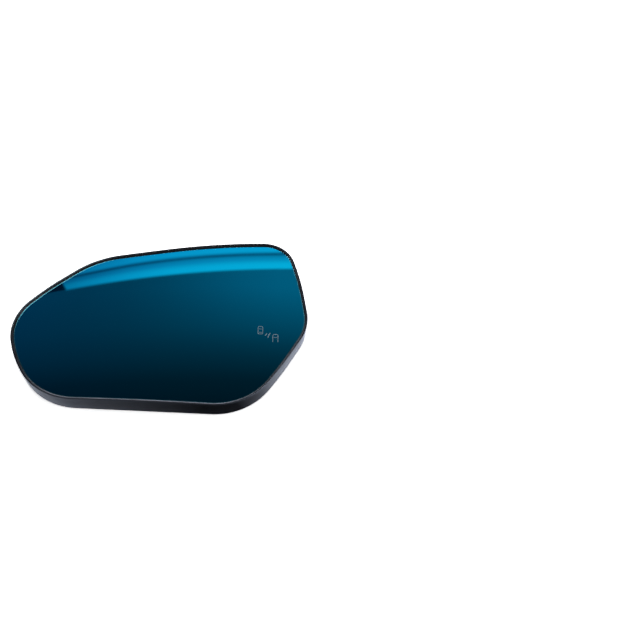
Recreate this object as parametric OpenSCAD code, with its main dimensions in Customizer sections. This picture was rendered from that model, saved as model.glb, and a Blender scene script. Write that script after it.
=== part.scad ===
// Heated door mirror glass with a blind spot indicator, lying on its back with the glass up.
// Lengths are millimetres. The origin is at the middle of the outline, in the plane of the rim's back edge.

/* [Glass] */
// Radius of the convex front face
glass_r = 1300; // [1200:50:2000]
// Height of the glass crown over the rim's back edge
crown_h = 16; // [16:0.5:20]
// Thickness of the glass
glass_t = 2; // [1.6:0.1:2.2]
// Gap between the edge of the glass and the lip
glass_gap = 0.15; // [0.1:0.05:0.4]

/* [Heater and pad] */
// Thickness of the heater film
film_t = 0.3; // [0.2:0.05:0.4]
// Thickness of the printed electrodes
electrode_t = 0.15; // [0.1:0.05:0.2]
// Thickness of the foam pad that bonds the heater to the carrier
pad_t = 0.6; // [0.4:0.1:0.8]
// Margin from the edge of the glass to the film and the pad
film_margin = 2.5; // [1.5:0.5:4]
// Margin from the edge of the film to the electrodes
electrode_margin = 2; // [1.5:0.5:3]
// Width of the electrode that runs along the edge
bus_w = 3; // [2:0.5:4]
// Width of an electrode finger
finger_w = 1.4; // [1:0.1:2]
// Distance from one finger to the next
finger_pitch = 6; // [5:0.5:7]
// Gap between one electrode and the other
electrode_gap = 3; // [2:0.5:4]
// Place along the mirror where the two electrodes part at the lower edge
split_low = 0; // [-20:5:20]
// Place along the mirror where the two electrodes part at the upper edge
split_high = 60; // [50:1:62]
// Gap from the light window to the film, the pad and the electrodes
window_margin = 0.5; // [0.3:0.1:1]

/* [Rim] */
// Width of the lip round the glass
lip_w = 2; // [1.8:0.1:2.8]
// Rise of the lip's crest over the edge of the glass
lip_rise = 0.5; // [0.3:0.1:0.9]
// Radius of the lip's rounded outer edge
lip_round = 0.9; // [0.6:0.1:1.2]
// Fall of the lip's face from its crest to the glass
lip_fall = 0.1; // [0:0.05:0.2]
// Inward draft of the outer wall, from the lip to the back edge
rim_draft = 1.4; // [1:0.2:4]
// Thickness of the rim wall at the back edge
wall_t = 2; // [1.6:0.1:2.4]
// Thickness of the carrier plate
plate_t = 2; // [1.6:0.1:2.4]

/* [Actuator seat] */
// Outer radius of the spigot ring that the actuator dish slides over
spigot_r = 26; // [24:0.5:28]
// Thickness of the spigot ring
spigot_t = 2; // [1.6:0.2:2.6]
// Height of the spigot's end over the rim's back edge
spigot_end = 1; // [0.5:0.5:2]
// Room round the spigot for the rim of the dish
dish_room = 5; // [4:0.5:7]
// Bevel on the spigot's end
spigot_bevel = 0.5; // [0.2:0.1:0.7]
// Distance from the middle to the inner face of the snap claws
claw_r = 17; // [16.5:0.5:18]
// Width of a snap claw
claw_w = 9; // [7:0.5:10]
// Thickness of a snap claw
claw_t = 1.8; // [1.4:0.1:2.2]
// Reach of a claw's barb
barb_reach = 1.3; // [0.8:0.1:1.5]
// Height of the lead-in below a claw's barb
barb_lead = 2.6; // [2:0.1:3]
// Height of a barb's upright face
barb_land = 0.65; // [0.4:0.05:1]
// Height of a barb's upper slope
barb_slope = 1.3; // [0.8:0.1:1.6]
// Height of the claw tips over the rim's back edge
claw_end = 1.5; // [1:0.5:2.5]

/* [Ribs] */
// Number of ribs that run out to the rim
rib_count = 8; // [6:2:12]
// Thickness of a stiffening rib
rib_t = 1.6; // [1.2:0.1:2]
// Depth of a rib below the plate
rib_h = 2.5; // [1.5:0.5:3.5]
// Radius of the ring rib round the actuator seat
ring_rib_r = 41; // [38:1:42]

/* [Heater terminals] */
// Distance of each terminal from the middle, along the mirror
terminal_x = 14; // [12:0.5:15]
// Width of a blade
blade_w = 6.3; // [4.8:0.1:6.4]
// Thickness of a blade and its foot
blade_t = 0.8; // [0.5:0.1:1]
// Height of the blades' ends over the rim's back edge
blade_end = 2.5; // [2:0.5:4]
// Length of the foot that is riveted to the film
foot_l = 7; // [6:0.5:8]
// Gap round the foot in the pad and the carrier
foot_gap = 1; // [0.6:0.1:1.2]
// Radius of a rivet's shank
rivet_r = 1.2; // [0.9:0.1:1.4]
// Radius of a rivet's head
rivet_head_r = 2.2; // [1.8:0.1:2.4]
// Height of a rivet's head
rivet_head_h = 0.8; // [0.5:0.1:1]
// Radius of the dome that shapes a rivet's head
rivet_dome_r = 2.45; // [2.4:0.05:2.6]

/* [Warning symbol] */
// Place of the warning symbol along the mirror
symbol_x = 70; // [66:1:71]
// Place of the warning symbol across the mirror
symbol_y = -9; // [-10:0.5:0]
// Width of a symbol line
line_w = 0.5; // [0.4:0.05:0.6]
// Length of a car in the symbol
car_l = 6.2; // [5.4:0.2:6.6]
// Width of a car in the symbol
car_w = 3.4; // [2.8:0.1:3.8]
// Radius of a car's corners
car_r = 1; // [0.8:0.1:1.3]
// Depth of the etched symbol
etch_t = 0.15; // [0.1:0.05:0.3]

/* [Indicator] */
// Length of the indicator housing
housing_l = 26; // [25:0.5:27]
// Width of the indicator housing
housing_w = 20; // [19.5:0.5:21]
// Depth of the indicator housing
housing_h = 6; // [5.6:0.1:6.2]
// Wall thickness of the indicator housing
housing_t = 1.2; // [1:0.1:1.4]
// Radius of the housing's corners
housing_r = 2; // [1.6:0.1:3]
// Distance from the symbol back to the middle of the housing
housing_shift = 1; // [0.5:0.5:2]
// Thickness of the foam seal between housing and carrier
seal_t = 0.8; // [0.5:0.1:1]
// Width of the foam seal
seal_w = 2; // [1.8:0.1:2.2]
// Thickness of the circuit board
board_t = 1; // [0.8:0.1:1.2]
// Gap round the board inside the housing
board_gap = 0.2; // [0.1:0.1:0.4]
// Length of the light window through the carrier
window_l = 17; // [16:0.5:18]
// Width of the light window through the carrier
window_w = 14.5; // [14:0.5:15]
// Gap between the diffuser and what surrounds it
diffuser_gap = 0.2; // [0.1:0.05:0.3]
// Thickness of the flange that holds the diffuser in the housing
flange_t = 0.8; // [0.6:0.1:1]
// Radius of the housing's screw ears
ear_r = 3; // [2.6:0.1:3.2]
// Thickness of the screw ears
ear_t = 1.8; // [1.4:0.1:2.4]
// Distance of each screw from the end of the housing it is nearest to
ear_inset = 6; // [5:0.5:8]
// Gap between an ear's hole and its screw
screw_gap = 0.15; // [0.1:0.05:0.3]
// Radius of the screws
screw_r = 1.1; // [0.9:0.1:1.2]
// Length of a screw under its head
screw_l = 4.2; // [3.8:0.1:4.4]
// Radius of a screw head
screw_head_r = 2.1; // [1.8:0.1:2.3]
// Height of a screw head
screw_head_h = 1.4; // [1:0.1:1.8]
// Length of a slot of the screws' cross recess
recess_l = 2.8; // [2:0.1:3]
// Width of a slot of the recess
recess_w = 0.55; // [0.4:0.05:0.7]
// Length of a light emitter
led_l = 3.5; // [3:0.1:3.8]
// Width of a light emitter
led_w = 2.8; // [2:0.1:3]
// Height of a light emitter
led_h = 1.2; // [0.8:0.1:1.4]
// Length of the resistor
resistor_l = 3.2; // [2:0.1:3.2]
// Width of the resistor
resistor_w = 1.6; // [1.2:0.1:1.8]
// Height of the resistor
resistor_h = 0.6; // [0.4:0.1:0.8]

/* [Plug socket] */
// Length of the plug socket beside the housing
socket_l = 8; // [7.5:0.5:9]
// Width of the plug socket
socket_w = 9; // [8:0.5:10]
// Wall thickness of the plug socket
socket_t = 0.9; // [0.8:0.05:1]
// Length of the contact pins inside the socket
pin_reach = 3.5; // [3:0.5:4]
// Length of the contact pins on the board
pin_foot = 3; // [2:0.5:4]
// Thickness of a contact pin
pin_t = 0.64; // [0.5:0.02:0.8]
// Distance between the contact pins
pin_pitch = 2.5; // [2:0.5:3]

/* [Hidden] */

// Corners of the lip's outer edge, anticlockwise: x, y and the radius that rounds the corner.
rim_corners = [
    [96.8, -3.3, 33],
    [91, 33.4, 205],
    [81.2, 64.7, 21],
    [33.5, 62.8, 520],
    [-46.2, 50.3, 62],
    [-75.2, 27.9, 163],
    [-100.2, 3.8, 33],
    [-91.2, -27.1, 84],
    [-74, -56.9, 44],
    [58.6, -63.8, 42],
    [80.3, -32.5, 250]
];
// Largest distance from a rounded corner to the short straight edges that draw it.
chord_tol = 0.04;
// Facets of the large balls that cut the curved faces, of small round pieces and of rounded corners.
ball_fn = 360;
round_fn = 48;
corner_fn = 32;
// Angle between the points that draw the lip's rounded edge.
lip_step = 22.5;
// Plates run this far into the wall that carries them, and cutters this far past a face.
weld = 0.3;
cut = 1;

// Radii of the concentric shells behind the glass front.
glass_back = glass_r - glass_t;
film_back = glass_back - film_t;
electrode_back = film_back - electrode_t;
plate_front = electrode_back - pad_t;
plate_back = plate_front - plate_t;
rib_back = plate_back - rib_h;

// Half of the outline's width, rounded up.
half_h = 65;

// Insets from the lip's outer edge.
glass_inset = lip_w + glass_gap;
film_inset = glass_inset + film_margin;
bus_inset = film_inset + electrode_margin;
finger_inset = bus_inset + bus_w + electrode_gap;
back_inset = rim_draft + wall_t;

// The indicator hangs from a flat seat under the plate, clear of the plate's lowest corner.
housing_mid = [symbol_x - housing_shift, symbol_y];
housing_far = housing_mid + [housing_l / 2, -housing_w / 2];
seat_z = shell_z(housing_far, plate_back) - weld;
housing_top = seat_z - seal_t;
housing_z = housing_top - housing_h;
socket_mid_z = housing_z + housing_h / 2;
pin_z = socket_mid_z - pin_t / 2;
board_z = pin_z - board_t;
housing_left = housing_mid.x - housing_l / 2;
inner_l = housing_l - 2 * housing_t;
inner_w = housing_w - 2 * housing_t;
ledge = housing_t / 2;
window_far = [symbol_x + window_l / 2, symbol_y - window_w / 2];
diffuser_top = shell_z(window_far, glass_back) - weld;
screw_x = housing_l / 2 - ear_inset;
screw_y = housing_w / 2 + ear_r - housing_t / 2;
screw_at = [housing_mid + [-screw_x, screw_y], housing_mid + [screw_x, -screw_y]];

// Middles of the symbol's two cars, and the ends of the strokes between them, from the symbol's middle.
// A light emitter stands behind each car, and the resistor beside them.
closed_car = [-4.9, 1.9];
open_car = [4.8, -4];
strokes = [[[-1.8, -2.2], [-0.6, -0.5]], [[-0.1, -3.6], [1.4, -0.1]]];
resistor_at = [0, 5];

// The terminals stand on neighbouring fingers, one on each side of the middle.
terminal_y = finger_pitch / 2;
foot_z = shell_z([terminal_x + foot_l / 2, terminal_y + blade_w / 2], electrode_back);
rivet_top = shell_z([terminal_x + rivet_r, terminal_y + rivet_r], glass_back);
claw_root = shell_z([claw_r, 0], plate_back);
barb_top = claw_end + barb_lead + barb_land + barb_slope;

// Unit vector from point a to point b.
function unit(a, b) = (b - a) / norm(b - a);

// Height of a point on the shell of radius r that is concentric with the glass front.
function shell_z(p, r) = crown_h - glass_r + sqrt(r * r - p.x * p.x - p.y * p.y);

// Points of the arc that rounds corner b between corners a and c, moved inwards by d.
function corner_arc(a, b, c, d) =
    let(
        p = [b.x, b.y],
        u = unit([a.x, a.y], p),
        v = unit(p, [c.x, c.y]),
        start = atan2(-u.x, u.y),
        turn = (atan2(-v.x, v.y) - start + 360) % 360,
        mid = p + (v - u) / norm(v - u) * b.z / cos(turn / 2),
        steps = ceil(turn / (2 * acos(1 - chord_tol / b.z)))
    )
    [for (i = [0:steps]) let(t = start + turn * i / steps) mid + (b.z - d) * [cos(t), sin(t)]];

// Outline of the rim, moved inwards by d. It has the same number of points at every inset.
function outline(d) =
    let(n = len(rim_corners))
    [for (i = [0:n - 1])
        each corner_arc(rim_corners[(i + n - 1) % n], rim_corners[i], rim_corners[(i + 1) % n], d)];

// Section of the rim wall: inset, true where the height is counted from the glass front, height.
rim_section = [
    [rim_draft + weld, false, 0],
    [rim_draft, false, weld],
    for (a = [0:lip_step:90]) [lip_round * (1 - cos(a)), true, lip_rise - lip_round * (1 - sin(a))],
    [lip_w - lip_fall, true, lip_rise - lip_fall],
    [lip_w, true, lip_rise - 2 * lip_fall],
    [lip_w, true, plate_front - glass_r],
    [back_inset, false, weld],
    [back_inset - weld, false, 0]
];

// One ring of the rim wall, at a point of its section.
function rim_ring(s) =
    [for (p = outline(s[0])) [p.x, p.y, s[1] ? shell_z(p, glass_r) + s[2] : s[2]]];

// Solid that runs the rim's section round the outline.
module rim_wall() {
    n = len(outline(0));
    m = len(rim_section);
    points = [for (s = rim_section) each rim_ring(s)];
    faces = [
        for (j = [0:m - 1], i = [0:n - 1])
            let(
                here = j * n,
                there = (j + 1) % m * n,
                k = (i + 1) % n
            )
            each [[here + i, there + i, here + k], [here + k, there + i, there + k]]
    ];
    polyhedron(points = points, faces = faces);
}

module ball(r) {
    translate([0, 0, crown_h - glass_r])
        rotate([90, 0, 0])
            sphere(r = r, $fn = ball_fn);
}

// Extrudes a flat shape between two concentric shells.
module between(front, back) {
    intersection() {
        linear_extrude(height = crown_h + cut)
            children();
        difference() {
            ball(front);
            ball(back);
        }
    }
}

// Extrudes a flat shape from a height up to a shell.
module up_to(front, z) {
    intersection() {
        translate([0, 0, z])
            linear_extrude(height = crown_h + cut - z)
                children();
        ball(front);
    }
}

module disc(r, z, h) {
    translate([0, 0, z])
        cylinder(r = r, h = h, $fn = round_fn);
}

// Rectangle with rounded corners, centred.
module rounded(l, w, r) {
    square([l - 2 * r, w], center = true);
    square([l, w - 2 * r], center = true);
    for (x = [-1, 1], y = [-1, 1])
        translate([x * (l / 2 - r), y * (w / 2 - r)])
            circle(r = r, $fn = corner_fn);
}

// Straight stroke of the symbol from p to q.
module stroke(p, q) {
    translate((p + q) / 2)
        rotate(atan2(q.y - p.y, q.x - p.x))
            square([norm(q - p) + line_w, line_w], center = true);
}

// Car seen from above, as an outline. The tail is left open when open is true.
module car_outline(open) {
    difference() {
        rounded(car_w, car_l, car_r);
        rounded(car_w - 2 * line_w, car_l - 2 * line_w, car_r - line_w);
        if (open)
            translate([0, -car_l / 2])
                square([car_w + cut, 2 * car_r], center = true);
    }
    screen = car_w / 2 - line_w;
    stroke([-screen, car_l / 5], [screen, car_l / 5]);
    if (!open)
        stroke([-screen, -car_l / 5], [screen, -car_l / 5]);
}

// Two cars side by side with two slanted strokes between them.
module symbol() {
    translate([symbol_x, symbol_y]) {
        translate(closed_car)
            car_outline(false);
        translate(open_car)
            car_outline(true);
        for (line = strokes)
            stroke(line[0], line[1]);
    }
}

module light_window(margin) {
    translate([symbol_x, symbol_y])
        rounded(window_l + 2 * margin, window_w + 2 * margin, housing_r / 2);
}

// Rectangle that a terminal's foot fills, on side -1 or 1, grown by a margin.
module foot_area(side, margin) {
    translate([side * terminal_x, side * terminal_y])
        square([foot_l + 2 * margin, blade_w + 2 * margin], center = true);
}

module carrier_ribs() {
    between(plate_front - plate_t / 2, rib_back)
        difference() {
            union() {
                difference() {
                    circle(r = ring_rib_r + rib_t / 2, $fn = 2 * round_fn);
                    circle(r = ring_rib_r - rib_t / 2, $fn = 2 * round_fn);
                }
                intersection() {
                    polygon(outline(lip_w - weld));
                    for (i = [0:rib_count - 1])
                        rotate((i + 0.5) * 360 / rib_count)
                            translate([spigot_r + dish_room, -rib_t / 2])
                                square([2 * half_h, rib_t]);
                }
            }
            translate(housing_mid)
                square([housing_l + 2 * rib_t, 2 * (screw_y + ear_r + rib_t)], center = true);
        }
}

// Ring that the actuator dish slides over, with a bevelled end.
module spigot() {
    rotate_extrude($fn = 2 * round_fn)
        polygon([
            [spigot_r - spigot_t, spigot_end],
            [spigot_r - spigot_bevel, spigot_end],
            [spigot_r, spigot_end + spigot_bevel],
            [spigot_r, claw_root],
            [spigot_r - spigot_t, claw_root]
        ]);
}

// Snap claw with its barb outwards and a gusset behind it.
module claw() {
    tip = claw_r + claw_t;
    rotate([90, 0, 0]) {
        linear_extrude(height = claw_w, center = true)
            polygon([
                [claw_r, claw_root + weld],
                [claw_r, claw_end + claw_t / 2],
                [claw_r + claw_t / 2, claw_end],
                [tip, claw_end],
                [tip + barb_reach, claw_end + barb_lead],
                [tip + barb_reach, claw_end + barb_lead + barb_land],
                [tip, barb_top],
                [tip, claw_root + weld]
            ]);
        linear_extrude(height = rib_t, center = true)
            polygon([
                [claw_r - claw_t, claw_root + weld],
                [claw_r + claw_t / 2, claw_root + weld],
                [claw_r + claw_t / 2, barb_top]
            ]);
    }
}

// Relief in the plate over a claw's barb, where the mould's core comes through.
module claw_relief() {
    translate([claw_r + claw_t + barb_reach / 2 + weld, 0])
        square([barb_reach + 2 * weld, claw_w + 2 * weld], center = true);
}

// Screw boss under the plate. Below the seat it stands clear of the seal.
module screw_boss(at) {
    up_to(plate_front - plate_t / 2, seat_z)
        translate(at)
            circle(r = ear_r, $fn = round_fn);
    translate([0, 0, housing_top])
        linear_extrude(height = seal_t + weld)
            difference() {
                translate(at)
                    circle(r = ear_r, $fn = round_fn);
                translate(housing_mid)
                    housing_plan(-screw_gap);
            }
}

module carrier() {
    color([0.06, 0.065, 0.075])
        union() {
            rim_wall();
            difference() {
                union() {
                    between(plate_front, plate_back)
                        polygon(outline(lip_w - weld));
                    carrier_ribs();
                    spigot();
                    for (a = [45:90:315])
                        rotate(a)
                            claw();
                    up_to(plate_front - plate_t / 2, seat_z)
                        translate(housing_mid)
                            rounded(housing_l, housing_w, housing_r);
                    for (at = screw_at)
                        screw_boss(at);
                }
                translate([0, 0, seat_z - cut])
                    linear_extrude(height = crown_h)
                        light_window(0);
                for (a = [45:90:315])
                    rotate(a)
                        translate([0, 0, barb_top])
                            linear_extrude(height = crown_h)
                                claw_relief();
                for (side = [-1, 1])
                    linear_extrude(height = crown_h)
                        foot_area(side, foot_gap);
                for (at = screw_at)
                    translate(at)
                        disc(screw_r, housing_top - cut, screw_l - ear_t + cut + weld);
            }
        }
}

module mirror_glass() {
    color([0.02, 0.2, 0.32])
        difference() {
            between(glass_r, glass_back)
                polygon(outline(glass_inset));
            between(glass_r + cut, glass_r - etch_t)
                symbol();
        }
}

module heater_film() {
    color([0.16, 0.14, 0.13])
        between(glass_back, film_back)
            difference() {
                polygon(outline(film_inset));
                light_window(window_margin);
                for (side = [-1, 1])
                    translate([side * terminal_x, side * terminal_y])
                        circle(r = rivet_r, $fn = round_fn);
            }
}

// The mirror's part on side -1 or 1 of the slanted line that parts the electrodes, short of it by a margin.
module half(side, margin) {
    low = split_low + side * margin;
    high = split_high + side * margin;
    polygon([[low, -half_h], [high, half_h], [side * 2 * half_h, half_h], [side * 2 * half_h, -half_h]]);
}

// Comb of fingers and the edge strip that joins them, on side -1 or 1.
module comb(side) {
    rows = ceil(half_h / finger_pitch / 2);
    intersection() {
        difference() {
            polygon(outline(bus_inset));
            polygon(outline(bus_inset + bus_w));
        }
        half(side, electrode_gap / 2);
    }
    intersection() {
        for (i = [-rows:rows])
            translate([0, (2 * i + side / 2) * finger_pitch])
                square([4 * half_h, finger_w], center = true);
        union() {
            polygon(outline(finger_inset));
            intersection() {
                polygon(outline(bus_inset + bus_w / 2));
                half(side, electrode_gap / 2);
            }
        }
    }
    translate([side * terminal_x, side * terminal_y])
        square([foot_l, finger_w * 2], center = true);
}

// Everything outwards of the light window, in the band that the window and its frame fill.
module window_shadow(margin) {
    translate([symbol_x - window_l / 2 - margin, symbol_y - window_w / 2 - margin])
        square([half_h, window_w + 2 * margin]);
}

module electrode(side) {
    frame = window_margin + bus_w / 2;
    color([0.75, 0.75, 0.77])
        between(film_back, electrode_back)
            difference() {
                union() {
                    difference() {
                        comb(side);
                        if (side < 0)
                            window_shadow(frame + electrode_gap / 2);
                    }
                    if (side > 0)
                        light_window(frame);
                }
                light_window(window_margin);
                translate([side * terminal_x, side * terminal_y])
                    circle(r = rivet_r, $fn = round_fn);
            }
}

module heater_electrode_left() {
    electrode(-1);
}

module heater_electrode_right() {
    electrode(1);
}

module foam_pad() {
    color([0.2, 0.2, 0.21])
        between(electrode_back, plate_front)
            difference() {
                polygon(outline(film_inset));
                light_window(window_margin);
                for (side = [-1, 1])
                    foot_area(side, foot_gap);
            }
}

// Blade bent from sheet: a foot behind the film and a tab that the plug slides over.
module terminal_blade(side) {
    color([0.78, 0.66, 0.36])
        translate([side * terminal_x, side * terminal_y, 0])
            difference() {
                union() {
                    translate([-foot_l / 2, -blade_w / 2, foot_z - blade_t])
                        cube([foot_l, blade_w, blade_t]);
                    translate([-side * (foot_l - blade_t) / 2 - blade_t / 2, -blade_w / 2, blade_end])
                        cube([blade_t, blade_w, foot_z - blade_end]);
                }
                disc(rivet_r, 0, crown_h);
                translate([0, 0, blade_end + blade_w / 2])
                    rotate([0, 90, 0])
                        cylinder(r = blade_t, h = 2 * foot_l, center = true, $fn = round_fn);
            }
}

module terminal_blade_left() {
    terminal_blade(-1);
}

module terminal_blade_right() {
    terminal_blade(1);
}

// Rivet through the film and the foot, with its domed head on the foot.
module terminal_rivet(side) {
    at = side * [terminal_x, terminal_y];
    color([0.8, 0.7, 0.42])
        union() {
            translate(at)
                disc(rivet_r, foot_z - blade_t - weld, rivet_top - foot_z + blade_t + weld);
            translate([at.x, at.y, foot_z - blade_t])
                intersection() {
                    disc(rivet_head_r, -rivet_head_h, rivet_head_h);
                    translate([0, 0, rivet_head_r - rivet_head_h])
                        sphere(r = rivet_dome_r, $fn = round_fn);
                }
        }
}

module terminal_rivet_left() {
    terminal_rivet(-1);
}

module terminal_rivet_right() {
    terminal_rivet(1);
}

// Footprint of the housing with its rounded corners, made smaller by an inset.
module housing_plan(inset) {
    rounded(housing_l - 2 * inset, housing_w - 2 * inset, housing_r - inset);
}

module indicator_housing() {
    color([0.05, 0.05, 0.055])
        difference() {
            union() {
                translate([housing_mid.x, housing_mid.y, housing_z])
                    linear_extrude(height = housing_h)
                        housing_plan(0);
                for (at = screw_at)
                    translate([0, 0, housing_top - ear_t])
                        linear_extrude(height = ear_t) {
                            translate(at)
                                circle(r = ear_r, $fn = round_fn);
                            translate([at.x, (at.y + housing_mid.y) / 2])
                                square([2 * ear_r, screw_y], center = true);
                        }
                translate([housing_left - socket_l, housing_mid.y - socket_w / 2, housing_z])
                    cube([socket_l + housing_t / 2, socket_w, housing_h]);
            }
            difference() {
                translate([housing_mid.x, housing_mid.y, housing_z + housing_t])
                    linear_extrude(height = housing_h)
                        housing_plan(housing_t);
                board_posts();
            }
            translate([housing_mid.x, housing_mid.y, housing_top - flange_t])
                linear_extrude(height = housing_h)
                    housing_plan(ledge);
            translate([housing_left - socket_l - cut, housing_mid.y, socket_mid_z])
                rotate([0, 90, 0])
                    linear_extrude(height = socket_l + cut)
                        square([housing_h - 2 * socket_t, socket_w - 2 * socket_t], center = true);
            for (side = [-1, 1])
                contact_pin(side);
            for (at = screw_at)
                translate(at)
                    disc(screw_r + screw_gap, 0, crown_h);
        }
}

// Posts in the housing's corners that the board stands on.
module board_posts() {
    post = 2 * housing_t;
    for (x = [-1, 1], y = [-1, 1])
        translate([housing_mid.x + x * (inner_l - post) / 2, housing_mid.y + y * (inner_w - post) / 2, 0])
            translate([-post / 2, -post / 2, housing_z])
                cube([post, post, board_z - housing_z]);
}

module indicator_seal() {
    color([0.12, 0.12, 0.13])
        translate([housing_mid.x, housing_mid.y, housing_top])
            linear_extrude(height = seal_t)
                difference() {
                    housing_plan(0);
                    square([housing_l - 2 * seal_w, housing_w - 2 * seal_w], center = true);
                }
}

module indicator_diffuser() {
    color([0.92, 0.9, 0.84])
        union() {
            translate([housing_mid.x, housing_mid.y, housing_top - flange_t])
                linear_extrude(height = flange_t)
                    housing_plan(ledge + diffuser_gap / 2);
            translate([0, 0, housing_top - flange_t])
                linear_extrude(height = diffuser_top - housing_top + flange_t)
                    light_window(-diffuser_gap);
        }
}

module indicator_board() {
    color([0.05, 0.3, 0.16])
        translate([housing_mid.x, housing_mid.y, board_z])
            linear_extrude(height = board_t)
                housing_plan(housing_t + board_gap);
}

// Small part of a given size that stands on the board at a point counted from the symbol's middle.
module on_board(at, size) {
    translate([symbol_x + at.x - size.x / 2, symbol_y + at.y - size.y / 2, board_z + board_t])
        cube(size);
}

module indicator_led_1() {
    color([0.95, 0.92, 0.75])
        on_board(closed_car, [led_l, led_w, led_h]);
}

module indicator_led_2() {
    color([0.95, 0.92, 0.75])
        on_board(open_car, [led_l, led_w, led_h]);
}

module indicator_resistor() {
    color([0.1, 0.1, 0.1])
        on_board(resistor_at, [resistor_l, resistor_w, resistor_h]);
}

// Square contact that lies on the board and reaches through the housing's wall into the socket.
module contact_pin(side) {
    start = housing_left - pin_reach;
    end = housing_left + housing_t + board_gap + pin_foot;
    translate([start, housing_mid.y + side * pin_pitch / 2 - pin_t / 2, pin_z])
        cube([end - start, pin_t, pin_t]);
}

module connector_pin_1() {
    color([0.83, 0.74, 0.5])
        contact_pin(-1);
}

module connector_pin_2() {
    color([0.83, 0.74, 0.5])
        contact_pin(1);
}

// Pan head screw that holds an ear of the housing against its boss.
module indicator_screw(at) {
    color([0.7, 0.71, 0.73])
        translate([at.x, at.y, housing_top - ear_t])
            difference() {
                union() {
                    disc(screw_head_r, -screw_head_h, screw_head_h);
                    disc(screw_r, 0, screw_l);
                }
                for (a = [0, 90])
                    rotate(a)
                        translate([0, 0, -screw_head_h])
                            cube([recess_l, recess_w, screw_head_h], center = true);
            }
}

module indicator_screw_1() {
    indicator_screw(screw_at[0]);
}

module indicator_screw_2() {
    indicator_screw(screw_at[1]);
}

carrier();
mirror_glass();
heater_film();
heater_electrode_left();
heater_electrode_right();
foam_pad();
terminal_blade_left();
terminal_blade_right();
terminal_rivet_left();
terminal_rivet_right();
indicator_housing();
indicator_seal();
indicator_diffuser();
indicator_board();
indicator_led_1();
indicator_led_2();
indicator_resistor();
connector_pin_1();
connector_pin_2();
indicator_screw_1();
indicator_screw_2();
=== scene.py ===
"""Car door mirror glass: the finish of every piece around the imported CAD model.

Lengths are metres, in the CAD frame: +X along the mirror, +Y to its upper edge, +Z out of the glass.
"""
import math
from functools import partial

import bmesh
import bpy
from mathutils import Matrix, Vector


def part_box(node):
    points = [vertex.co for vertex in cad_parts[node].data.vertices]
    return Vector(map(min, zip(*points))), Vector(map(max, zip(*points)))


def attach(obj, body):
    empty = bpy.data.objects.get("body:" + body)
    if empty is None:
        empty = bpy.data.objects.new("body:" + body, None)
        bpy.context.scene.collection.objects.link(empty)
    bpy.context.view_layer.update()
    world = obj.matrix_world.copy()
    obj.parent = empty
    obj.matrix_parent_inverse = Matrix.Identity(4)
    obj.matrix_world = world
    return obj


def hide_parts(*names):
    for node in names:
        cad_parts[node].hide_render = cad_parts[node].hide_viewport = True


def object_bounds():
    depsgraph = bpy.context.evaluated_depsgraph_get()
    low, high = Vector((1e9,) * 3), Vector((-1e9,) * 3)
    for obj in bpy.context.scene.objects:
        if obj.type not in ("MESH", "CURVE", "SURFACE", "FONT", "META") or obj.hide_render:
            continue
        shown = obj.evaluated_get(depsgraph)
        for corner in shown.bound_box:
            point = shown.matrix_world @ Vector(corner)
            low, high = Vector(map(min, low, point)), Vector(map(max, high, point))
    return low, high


bl_info = {
    "name": "Door Mirror Glass",
    "version": (1, 0, 0),
    "blender": (4, 5, 0),
    "location": "3D View > Sidebar > Mirror",
    "description": "Builds a heated door mirror glass with its carrier and indicator",
    "category": "Object",
}

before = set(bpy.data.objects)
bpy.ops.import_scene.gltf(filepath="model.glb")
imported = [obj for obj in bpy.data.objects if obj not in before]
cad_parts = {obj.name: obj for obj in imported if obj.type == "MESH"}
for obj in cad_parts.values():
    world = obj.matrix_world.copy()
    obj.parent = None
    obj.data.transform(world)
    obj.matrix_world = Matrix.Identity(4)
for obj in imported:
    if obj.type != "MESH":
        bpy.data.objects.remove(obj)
CAD_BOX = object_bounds()
MM = 0.001

# Corners of the lip's outer edge, anticlockwise, in mm: x, y and the radius that rounds the corner.
RIM_CORNERS = (
    (96.8, -3.3, 33), (91, 33.4, 205), (81.2, 64.7, 21), (33.5, 62.8, 520), (-46.2, 50.3, 62),
    (-75.2, 27.9, 163), (-100.2, 3.8, 33), (-91.2, -27.1, 84), (-74, -56.9, 44), (58.6, -63.8, 42),
    (80.3, -32.5, 250),
)


def length(name, description, default):
    """A size in metres that shows in the sidebar."""
    return bpy.props.FloatProperty(
        name=name, description=description, default=default, min=0.0, precision=5, unit="LENGTH"
    )


def colour(name, description, default):
    """A linear colour that shows in the sidebar."""
    return bpy.props.FloatVectorProperty(
        name=name, description=description, default=default, size=3, min=0.0, max=1.0, subtype="COLOR"
    )


def share(name, description, default, top=1.0):
    """A plain number that shows in the sidebar."""
    return bpy.props.FloatProperty(name=name, description=description, default=default, min=0.0, max=top)


class GlassSettings(bpy.types.PropertyGroup):
    """Sizes and colours of the glass."""

    radius: length("Front radius", "Radius of the convex front face", 1.3)
    crown: length("Crown height", "Height of the crown over the back edge", 0.016)
    thickness: length("Thickness", "Thickness of the glass", 0.002)
    inset: length("Inset", "Distance from the lip's outer edge to the glass", 0.00215)
    bevel: length("Edge bevel", "Width of the ground bevel round the front", 0.00045)
    tint: colour("Tint", "Colour of the mirror coating", (0.0, 0.168, 0.30))
    edge_tint: colour("Edge tint", "Colour of the ground edge", (0.11, 0.36, 0.42))
    line_width: length("Line width", "Width of a line of the warning symbol", 0.00045)
    line_colour: colour("Line colour", "Colour of the etched symbol", (0.13, 0.195, 0.235))


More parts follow.
